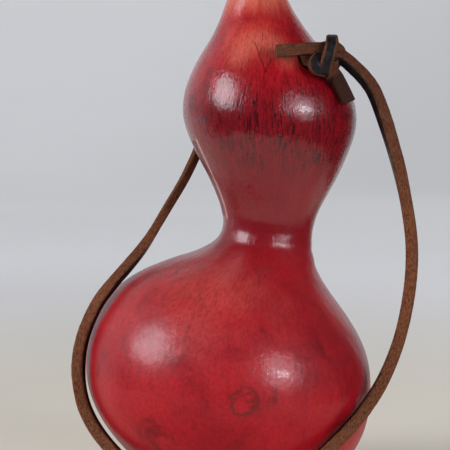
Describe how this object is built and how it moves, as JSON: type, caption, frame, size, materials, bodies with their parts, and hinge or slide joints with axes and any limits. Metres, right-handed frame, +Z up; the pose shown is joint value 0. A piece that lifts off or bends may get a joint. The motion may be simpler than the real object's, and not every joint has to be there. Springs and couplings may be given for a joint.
{
  "type": "gourd maraca",
  "caption": "Hollow two-bulb gourd rattle that stands on its base, with a knotted leather lace loop through its upper bulb and loose seeds inside.",
  "frame": {"origin": "centre of the flat base that the gourd stands on", "axes": "+Z up along the gourd, +X towards the side where the lace hangs clear, -Y towards the knot and the viewer"},
  "size_m": [0.091, 0.077, 0.1585],
  "materials": {
    "dyed_gourd": "gloss varnish over red dye",
    "dried_stem": "rough",
    "plain_wood": "satin",
    "brown_leather": "matt, with a smooth near-black grain face",
    "seed_coat": "matt"
  },
  "bodies": {
    "gourd": {"gourd_shell": "dyed_gourd", "dried_stalk": "dried_stem", "filler_plug": "plain_wood", "lace_loop": "brown_leather", "lace_knot": "brown_leather", "lace_inner_run": "brown_leather"},
    "seed_01": {"seed_01": "seed_coat"},
    "seed_02": {"seed_02": "seed_coat"},
    "seed_03": {"seed_03": "seed_coat"},
    "seed_04": {"seed_04": "seed_coat"},
    "seed_05": {"seed_05": "seed_coat"},
    "seed_06": {"seed_06": "seed_coat"},
    "seed_07": {"seed_07": "seed_coat"},
    "seed_08": {"seed_08": "seed_coat"},
    "seed_09": {"seed_09": "seed_coat"},
    "seed_10": {"seed_10": "seed_coat"},
    "seed_11": {"seed_11": "seed_coat"},
    "seed_12": {"seed_12": "seed_coat"},
    "seed_13": {"seed_13": "seed_coat"},
    "seed_14": {"seed_14": "seed_coat"},
    "seed_15": {"seed_15": "seed_coat"},
    "seed_16": {"seed_16": "seed_coat"},
    "seed_17": {"seed_17": "seed_coat"},
    "seed_18": {"seed_18": "seed_coat"}
  },
  "joints": [
    {"name": "seed_01_toss", "type": "slide", "parent": "gourd", "child": "seed_01", "axis": [0, 0, 1], "range_m": [0, 0.045]},
    {"name": "seed_02_toss", "type": "slide", "parent": "gourd", "child": "seed_02", "axis": [0, 0, 1], "range_m": [0, 0.045]},
    {"name": "seed_03_toss", "type": "slide", "parent": "gourd", "child": "seed_03", "axis": [0, 0, 1], "range_m": [0, 0.045]},
    {"name": "seed_04_toss", "type": "slide", "parent": "gourd", "child": "seed_04", "axis": [0, 0, 1], "range_m": [0, 0.045]},
    {"name": "seed_05_toss", "type": "slide", "parent": "gourd", "child": "seed_05", "axis": [0, 0, 1], "range_m": [0, 0.036]},
    {"name": "seed_06_toss", "type": "slide", "parent": "gourd", "child": "seed_06", "axis": [0, 0, 1], "range_m": [0, 0.036]},
    {"name": "seed_07_toss", "type": "slide", "parent": "gourd", "child": "seed_07", "axis": [0, 0, 1], "range_m": [0, 0.036]},
    {"name": "seed_08_toss", "type": "slide", "parent": "gourd", "child": "seed_08", "axis": [0, 0, 1], "range_m": [0, 0.036]},
    {"name": "seed_09_toss", "type": "slide", "parent": "gourd", "child": "seed_09", "axis": [0, 0, 1], "range_m": [0, 0.036]},
    {"name": "seed_10_toss", "type": "slide", "parent": "gourd", "child": "seed_10", "axis": [0, 0, 1], "range_m": [0, 0.036]},
    {"name": "seed_11_toss", "type": "slide", "parent": "gourd", "child": "seed_11", "axis": [0, 0, 1], "range_m": [0, 0.036]},
    {"name": "seed_12_toss", "type": "slide", "parent": "gourd", "child": "seed_12", "axis": [0, 0, 1], "range_m": [0, 0.036]},
    {"name": "seed_13_toss", "type": "slide", "parent": "gourd", "child": "seed_13", "axis": [0, 0, 1], "range_m": [0, 0.036]},
    {"name": "seed_14_toss", "type": "slide", "parent": "gourd", "child": "seed_14", "axis": [0, 0, 1], "range_m": [0, 0.036]},
    {"name": "seed_15_toss", "type": "slide", "parent": "gourd", "child": "seed_15", "axis": [0, 0, 1], "range_m": [0, 0.036]},
    {"name": "seed_16_toss", "type": "slide", "parent": "gourd", "child": "seed_16", "axis": [0, 0, 1], "range_m": [0, 0.036]},
    {"name": "seed_17_toss", "type": "slide", "parent": "gourd", "child": "seed_17", "axis": [0, 0, 1], "range_m": [0, 0.036]},
    {"name": "seed_18_toss", "type": "slide", "parent": "gourd", "child": "seed_18", "axis": [0, 0, 1], "range_m": [0, 0.036]}
  ]
}
